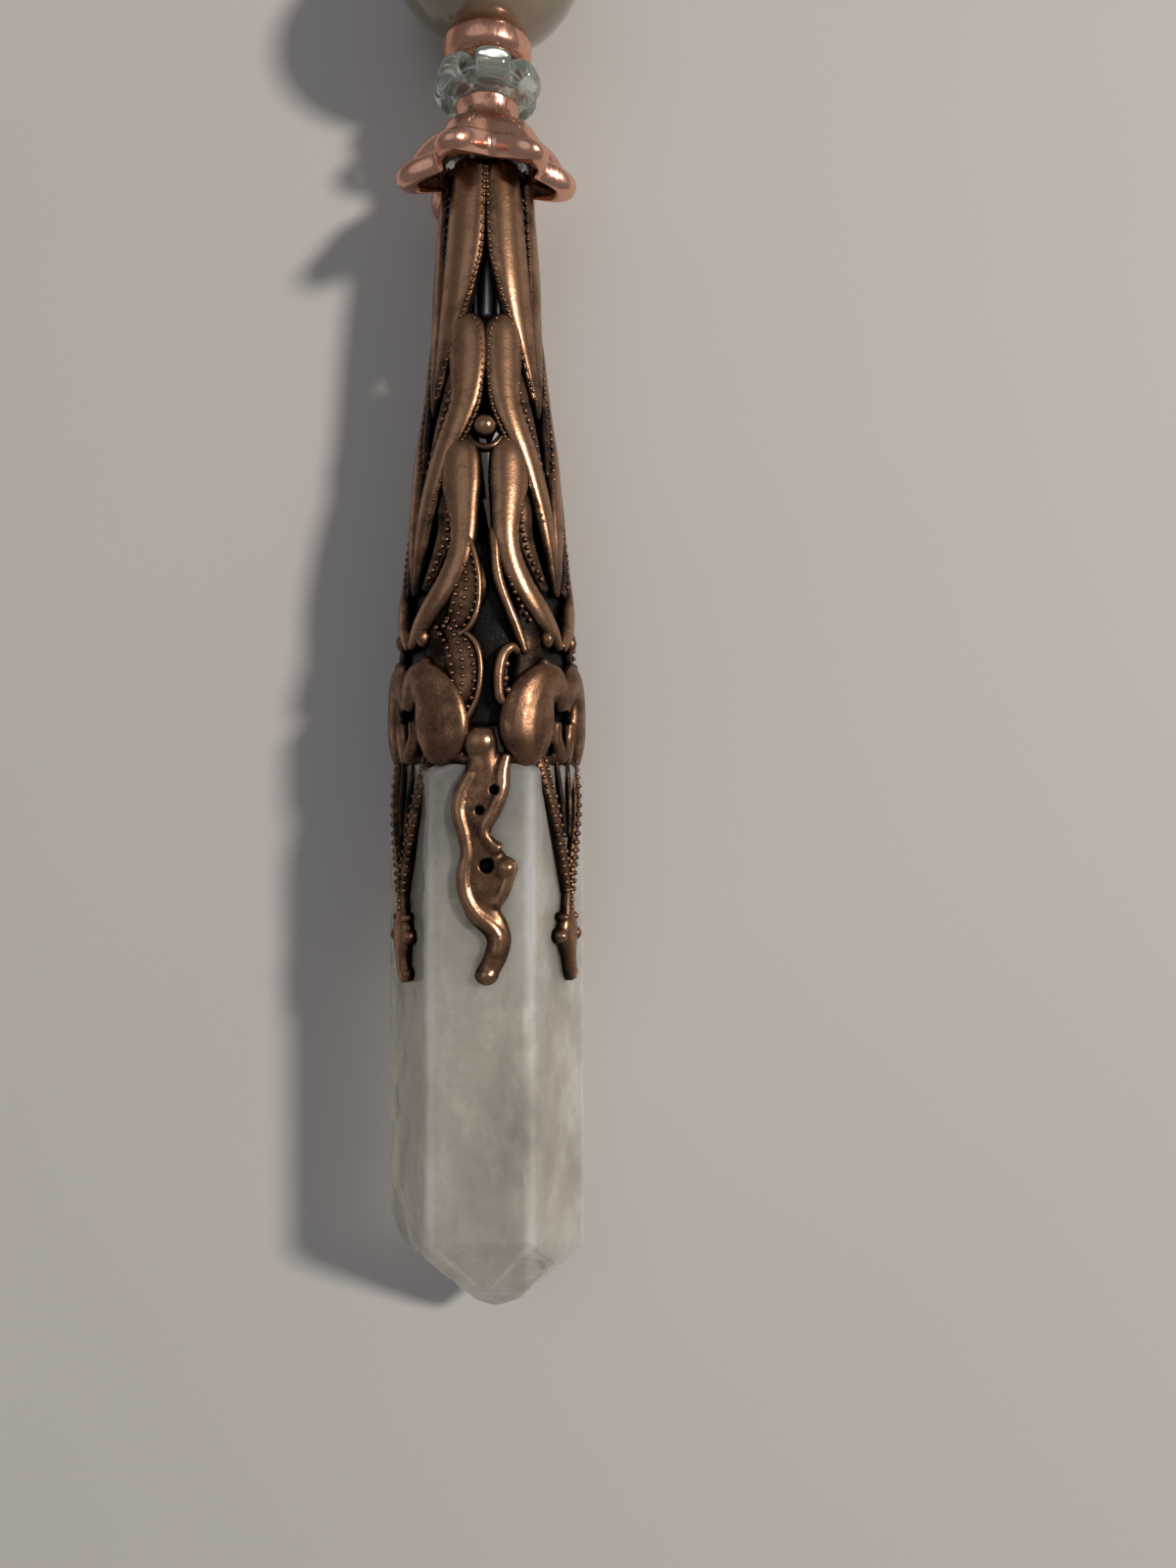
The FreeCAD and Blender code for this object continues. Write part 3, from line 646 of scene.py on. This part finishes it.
forkLook = {
    "arm": [(24, 16.6, 1.6, .55), (21, 15.2, 1.4, .6), (15, 12.6, 1.1, .6), (9, 10, 1.0, .6),
            (4, 8.0, 1.0, .6),
            (1.5, 6.6, .8, .6)],
    "stem": [(0, 8.6, 1.1, .6), (0, 6.5, 1.0, .65), (0, 5.2, 1.3, .7), (0, 4.1, 2.3, .85), (0, 3.0, 2.0, .85),
             (1, 1.9, 1.3, .8), (3, .9, 1.2, .8), (5, .35, .9, .7)],
    "slat": [(8, 16.6, .5, .4), (6, 14, .5, .4), (3, 10.5, .5, .4)],
}


def makeForkedProngs():
    bm = bmesh.new()
    for side in (-1, 1):
        flip = mirrored if side < 0 else list
        addStrip(bm, flip(forkLook["arm"]), 30, 10, -0.1)
        for shift in (-2.4, 2.4):
            addGranules(bm, [(side * (s[0] + shift), s[1]) for s in forkLook["arm"]], 0.2, 0.5, 0.52)
        addStrip(bm, flip(forkLook["slat"]), 16, 8, -0.1)
        addBulb(bm, side * 9, 3.5, .5, .6, .9, 12)
        addBulb(bm, side * 6, 4.8, .4, .4, .8, 12)
    addStrip(bm, forkLook["stem"], 34, 12, -0.1)
    addBulb(bm, 4.5, 0.85, .6, .6, .8, 14)
    addGranules(bm, [(0, 8.2), (0, 6.5), (0, 5.2)], 0.22, 0.5, 0.62)
    halfRepeat = Matrix.Rotation(math.pi / filigree["repeats"], 3, "Y")
    for v in bm.verts:
        v.co = halfRepeat @ v.co
    repeatRound(bm)
    keepFiligree("filigreeForkedProngs", bm)


makeLeaves()
makeBands()
makeLedges()
makeVoidLeaves()
makeScrolls()
makeWavyProngs()
makeForkedProngs()


# Flower cap
capLook = {
    "profile": [(5.98, 1.02), (6.0, 2.1), (5.85, 2.38), (5.3, 2.3), (4.8, 2.35), (4.2, 2.7), (3.7, 3.5),
                (3.2, 4.4),
                (2.4, 5.2), (1.4, 5.8), (.6, 6.1), (.3, 5.9), (.8, 5.4), (1.6, 4.8), (2.5, 4.0), (3.1, 3.1),
                (3.6, 2.3), (4.4, 1.7), (5.0, 1.02)],
    "firstPetal": -21, "groove": 0.33, "rimRadius": 0.84, "rimAt": (0.35, 5.84), "steps": 192,
    "petals": 6, "foldWidth": 2.4, "scallop": 0.75, "ripple": 0.22,
}


def makeFlowerCap():
    start = span("flower_cap")[0]
    profile = smoothPath(capLook["profile"], 70)
    bm = turned([(start + y, r) for y, r in profile], capLook["steps"], closed=True)
    rimY, rimR = capLook["rimAt"]
    rim = turned(arc(start + rimY, rimR, capLook["rimRadius"], 0, 345, 24), capLook["steps"], closed=True)
    mesh = bpy.data.meshes.new("rim")
    rim.to_mesh(mesh)
    rim.free()
    bm.from_mesh(mesh)
    for v in bm.verts:
        radius = math.hypot(v.co.x, v.co.z)
        turn = math.atan2(v.co.x, v.co.z) - math.radians(capLook["firstPetal"])
        fold = abs(math.sin(capLook["petals"] / 2 * turn)) ** capLook["foldWidth"]
        flank = clamped((radius - 1.4) / 2.4) * clamped((start + 5.9 - v.co.y) / 1.2)
        reach = clamped((radius - 3.5) / 2.5)
        scale = 1 - capLook["groove"] * fold * (0.55 * flank + 0.45 * reach)
        v.co.x *= scale
        v.co.z *= scale
        v.co.y += capLook["scallop"] * fold * reach + capLook["ripple"] * reach * math.sin(3.1 * turn + 0.7)
    bmesh.ops.recalc_face_normals(bm, faces=bm.faces[:])
    keepPiece("flowerCap", bm, "polished_copper", "flower_cap", "flower_cap")


makeFlowerCap()


# Threaded pieces
beadLook = {
    "hole": 0.42, "radius": 1.34, "fullness": 0.93, "count": 6,
    "ringRadius": 2.74, "wireRadius": 0.12,
}


def makeGlassBeads():
    radius, hole = beadLook["radius"], beadLook["hole"]
    middle = sum(span("ring_wire")) / 2
    for i in range(beadLook["count"]):
        node = f"glass_bead_{i + 1}"
        low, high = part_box(node)
        centre = (low + high) / 2 / mm - Vector((0, 0, axisHeight / mm))
        wall = (radius - hole) / 2
        profile = arc(0, hole + wall, wall, 0, 345, 24)
        profile = [(y * radius / wall * beadLook["fullness"], r) for y, r in profile]
        bm = turned(profile, 40, closed=True)
        along = Vector((centre.z, 0, -centre.x)).normalized()
        turnTo = Vector((0, 1, 0)).rotation_difference(along).to_matrix().to_4x4()
        bm.transform(Matrix.Translation(centre) @ turnTo)
        keepPiece(f"glassBead{i + 1}", bm, "clear_glass", "glass_ring", node)
    loop = turned(arc(middle, beadLook["ringRadius"], beadLook["wireRadius"], 0, 330, 12), 96, closed=True)
    keepPiece("ringWire", loop, "steel_wire", "glass_ring", "ring_wire")


spacerLook = {"radius": 3.3, "edge": 0.95, "hole": 1.0}


def makeCopperRing():
    low, high = span("copper_ring")
    edge, radius, hole = spacerLook["edge"], spacerLook["radius"], spacerLook["hole"]
    profile = [(high, hole)] + arc(high - edge, radius - edge, edge, 0, 80, 9)
    profile += arc(low + edge, radius - edge, edge, 100, 180, 9) + [(low, hole)]
    bm = turned(profile, 128, closed=True)
    keepPiece("copperRing", bm, "polished_copper", "copper_ring", "copper_ring")


largeBeadLook = {"radius": 7.5, "hole": 1.0, "holeEdge": 0.12, "flat": 2.4, "flatEdge": 0.25}


def makeLargeBead():
    middle = sum(span("large_bead")) / 2
    radius, flat = largeBeadLook["radius"], largeBeadLook["flat"]
    start = math.degrees(math.asin(flat / radius))
    shape = arc(middle, 0, radius, start, 180 - start, 60)
    upper, lower = shape[0][0], shape[-1][0]
    outer, inner = flat - largeBeadLook["flatEdge"], largeBeadLook["hole"] + largeBeadLook["holeEdge"]
    profile = [(upper, inner), (upper, outer)] + shape + [(lower, outer), (lower, inner)]
    bm = turned(profile, 144, closed=True)
    keepPiece("largeBead", bm, "grey_stone", "large_bead", "large_bead")


innerBeadLook = {"radius": 3.18, "hole": 1.0}


def makeInnerBead():
    low, high = span("inner_glass_bead")
    middle, half = (low + high) / 2, (high - low) / 2
    radius, hole = innerBeadLook["radius"], innerBeadLook["hole"]
    profile = [(high, hole)] + arc(middle, radius - half, half, 12, 168, 17) + [(low, hole)]
    bm = turned(profile, 96, closed=True)
    keepPiece("innerGlassBead", bm, "clear_glass", "inner_glass_bead", "inner_glass_bead")


makeGlassBeads()
makeCopperRing()
makeLargeBead()
makeInnerBead()


# Pin, stem and adhesive
pinLook = {
    "collar": 3.0, "collarHeight": 1.6, "collarEdge": 0.5, "grip": 2.0, "pointLength": 45.0, "end": 0.8,
    "socket": 0.92, "socketDepth": 8,
}


def makePin():
    low, high = span("pin_shaft")
    collar, edge, grip, end = pinLook["collar"], pinLook["collarEdge"], pinLook["grip"], pinLook["end"]
    top = low + pinLook["collarHeight"]
    socket, bottom = pinLook["socket"], low + pinLook["socketDepth"]
    profile = [(bottom, 0), (bottom, socket), (low, socket)]
    profile += arc(low + edge, collar - edge, edge, 180, 90, 8)
    profile += arc(top - edge, collar - edge, edge, 90, 12, 8)
    profile += [(top + 0.06, grip + 0.22), (top + 0.35, grip)]
    profile += [(top + 10 + 12 * i, grip) for i in range(5)]   # keeps the faces of the grip short
    taper = high - pinLook["pointLength"]
    for i in range(25):
        f = i / 24
        profile.append((taper + f * (pinLook["pointLength"] - end), grip + (end - grip) * f ** 1.15))
    profile += arc(high - end, 0, end, 80, 0, 8)[:-1] + [(high, 0)]
    bm = turned(profile, 96)
    keepPiece("pinShaft", bm, "polished_copper", "pin", "pin_shaft")


stemLook = {"radius": 0.9, "end": 0.5, "chamfer": 0.2}


def makeStem():
    low, high = span("stem_wire")
    radius, end, chamfer = stemLook["radius"], stemLook["end"], stemLook["chamfer"]
    profile = [(low, 0)] + arc(low + end, radius - end, end, 170, 90, 8)
    profile += [(high - chamfer, radius), (high, radius - chamfer), (high, 0)]
    bm = turned(profile, 48)
    keepPiece("stemWire", bm, "steel_wire", "pin", "stem_wire")


fillLook = {
    "bore": 0.93, "neckGap": 0.35, "crownGap": 0.15, "crown": 2.2, "wallGap": 0.14, "rows": 34,
    "lumps": 0.5, "dips": 0.9,
}


def makeNeckAdhesive():
    low, high = span("neck_adhesive")
    bore, crownGap = fillLook["bore"], fillLook["crownGap"]
    profile = [(low, bore), (low, wallRadius(low - tips) - fillLook["neckGap"])]
    profile += [(high - crownGap, wallRadius(high - tips) - crownGap), (high, fillLook["crown"]),
                (high, bore)]
    bm = turned(profile, 64, closed=True)
    keepPiece("neckAdhesive", bm, "dark_adhesive", "pin", "neck_adhesive")


def makeCrystalAdhesive():
    low, high = span("crystal_adhesive")
    steps = [(high - low) * i / fillLook["rows"] for i in range(fillLook["rows"] + 1)]
    side = [(low + step, wallRadius(low - tips + step) - fillLook["wallGap"]) for step in steps]
    top = [(high, side[-1][1] * f) for f in (.9, .75, .6, .45, .3, .15)]
    bm = turned([(low, 0)] + side + top + [(high, 0)], 96)
    for v in bm.verts:
        radial = Vector((v.co.x, 0, v.co.z))
        if radial.length > 3:
            v.co -= radial.normalized() * fillLook["lumps"] * (noise.noise(v.co * 0.6) * 0.5 + 0.5)
        elif v.co.y > high - 0.1:
            v.co.y -= fillLook["dips"] * (noise.noise(v.co * 0.5) * 0.5 + 0.5)
    keepPiece("crystalAdhesive", bm, "dark_adhesive", "pin", "crystal_adhesive")


makePin()
makeStem()
makeNeckAdhesive()
makeCrystalAdhesive()


# Quartz crystal
crystalLook = {
    "apothem": 6.3, "tipAngle": 46.0, "voxel": 0.19, "rounds": 6,
    # Heights above the tip where the faces end, from the upward one, clockwise as seen from the point.
    "shoulders": [7.75, 5.47, 4.41, 3.95, 5.32, 6.54],
    "base": (16.3, 6.0, 0.8),
    "sideFacet": (-60, 8.0, 17),    # where a small steep facet leans: turn, height above the tip, lean
    # Painted light: the edge values paint highlights along the prism's edges and light on the +X side, which
    # faces the key lamp; paleTip makes it paler towards the tip.
    "paintedHighlightReach": 5, "paintedEdgeHighlight": 0.6, "paintedLitSide": 0.45, "paleTip": 0.55,
}


def cutAway(bm, spot, outward):  # cuts away what lies beyond a plane, and closes the cut
    bmesh.ops.bisect_plane(bm, geom=bm.verts[:] + bm.edges[:] + bm.faces[:], dist=1e-5, plane_co=spot,
                           plane_no=outward, clear_outer=True)
    bmesh.ops.holes_fill(bm, edges=bm.edges[:], sides=0)


def markPaintedLight(bm, low):  # painted highlights along the edges, painted light on the +X side where the key lamp stands, and paler towards the tip
    layer = bm.verts.layers.float.new("edge")
    for v in bm.verts:
        turn = math.degrees(math.atan2(v.co.x, v.co.z)) % 60
        ridge = max(0, 1 - abs(turn - 30) / crystalLook["paintedHighlightReach"]) * crystalLook["paintedEdgeHighlight"]
        side = crystalLook["paintedLitSide"] * max(0, v.co.x / 7)
        v[layer] = ridge + side + crystalLook["paleTip"] * max(0, (low + 9 - v.co.y) / 9)


def makeCrystal():
    low, high = span("quartz_crystal")
    apothem = crystalLook["apothem"]
    bm = bmesh.new()
    stand = Matrix.Translation((0, (low + high) / 2, 0)) @ Matrix.Rotation(math.radians(90), 4, "X")
    bmesh.ops.create_cone(bm, cap_ends=True, segments=6, radius1=apothem / math.cos(math.pi / 6),
                          radius2=apothem / math.cos(math.pi / 6), depth=high - low,
                          matrix=stand @ Matrix.Rotation(math.radians(30), 4, "Z"))
    rise = apothem / math.tan(math.radians(crystalLook["tipAngle"]))
    for i, shoulder in enumerate(crystalLook["shoulders"]):
        out = outwards(60 * i)
        cutAway(bm, out * apothem + Vector((0, low + shoulder, 0)),
                (out * rise - Vector((0, apothem, 0))).normalized())
    turn, height, lean = crystalLook["sideFacet"]
    out = outwards(turn)
    cutAway(bm, out * apothem + Vector((0, low + height, 0)),
            out * math.cos(math.radians(lean)) - Vector((0, math.sin(math.radians(lean)), 0)))
    bm = melt(bm, crystalLook["voxel"], crystalLook["rounds"])
    height, radius, slope = crystalLook["base"]
    for v in bm.verts:
        flat = math.hypot(v.co.x, v.co.z)
        limit = radius + slope * (height - (v.co.y - tips))
        if flat > limit:
            v.co.x *= limit / flat
            v.co.z *= limit / flat
        wobble = noise.noise(v.co * 0.35) * 0.10 + noise.noise(v.co * 1.1) * 0.025
        v.co -= v.normal * abs(wobble)
    markPaintedLight(bm, low)
    keepPiece("quartzCrystal", bm, "quartz", "pin", "quartz_crystal")


makeCrystal()


# Floor, light and camera
stageLook = {
    "floorColour": (0.60, 0.575, 0.55), "floorSize": 1.2,
    "floorSlope": (0.3, 65),    # the prongs lie this much higher than the large bead, this far along the pin
    "floorPivot": (0, -0.0101, -0.00002), "aim": (0, -0.06, 0),
    "keyPower": 4.3, "keySize": 0.09, "keyAway": 0.78, "keyWay": (9.5, 3.6, 10),
    "keyColour": (1.0, 0.93, 0.86),
    "fillPower": 0.5, "fillSize": 0.7, "fillAt": (-0.25, 0.15, 0.7), "fillColour": (0.92, 0.95, 1.0),
    "world": (0.84, 0.84, 0.88), "worldStrength": 0.22,
}
cameraLook = {
    "lens": 27, "sensor": 36, "nearest": 0.005,
    "aside": 0.0075, "pastTips": 0.0143, "height": 0.095,
}


def makeFloor():
    bm = bmesh.new()
    bmesh.ops.create_grid(bm, x_segments=2, y_segments=2, size=stageLook["floorSize"])
    mesh = bpy.data.meshes.new("floor")
    bm.to_mesh(mesh)
    bm.free()
    floor = bpy.data.objects.new("floor", mesh)
    material, shader = newMaterial("palePaper", Roughness=0.75)
    mottle = objectNoise(material, 9, 4)
    colour = ramp(material, mottle, [(0.3, tuple(c * 0.97 for c in stageLook["floorColour"])),
                                     (0.7, stageLook["floorColour"])])
    wire(material, colour, shader.inputs["Base Color"])
    mesh.materials.append(material)
    bpy.context.scene.collection.objects.link(floor)
    lean = math.atan2(*stageLook["floorSlope"])
    floor.matrix_world = Matrix.Translation(stageLook["floorPivot"]) @ Matrix.Rotation(-lean, 4, "X")


def addLamp(name, place, size, power, colour):
    data = bpy.data.lights.new(name, "AREA")
    data.shape = "DISK"
    data.size = size
    data.energy = power
    data.color = colour
    light = bpy.data.objects.new(name, data)
    light.location = place
    light.rotation_euler = (Vector(stageLook["aim"]) - place).to_track_quat("-Z", "Y").to_euler()
    bpy.context.scene.collection.objects.link(light)


def makeLights():
    toKey = Vector(stageLook["keyWay"]).normalized() * stageLook["keyAway"] + Vector(stageLook["aim"])
    addLamp("keyLight", toKey, stageLook["keySize"], stageLook["keyPower"], stageLook["keyColour"])
    addLamp("softFill", Vector(stageLook["fillAt"]), stageLook["fillSize"], stageLook["fillPower"],
            stageLook["fillColour"])
    world = bpy.data.worlds.new("room")
    world.use_nodes = True
    back = world.node_tree.nodes["Background"]
    back.inputs["Color"].default_value = (*stageLook["world"], 1)
    back.inputs["Strength"].default_value = stageLook["worldStrength"]
    bpy.context.scene.world = world


def makeCamera():
    camera = bpy.data.objects.new("camera", bpy.data.cameras.new("camera"))
    camera.data.sensor_fit = "VERTICAL"
    camera.data.sensor_height = cameraLook["sensor"]
    camera.data.lens = cameraLook["lens"]
    camera.data.clip_start = cameraLook["nearest"]
    camera.location = (cameraLook["aside"], coneLow.y + cameraLook["pastTips"], cameraLook["height"])
    bpy.context.scene.collection.objects.link(camera)
    bpy.context.scene.camera = camera
    bpy.context.scene.view_settings.view_transform = "Standard"


makeFloor()
makeLights()
makeCamera()
print("stage set")
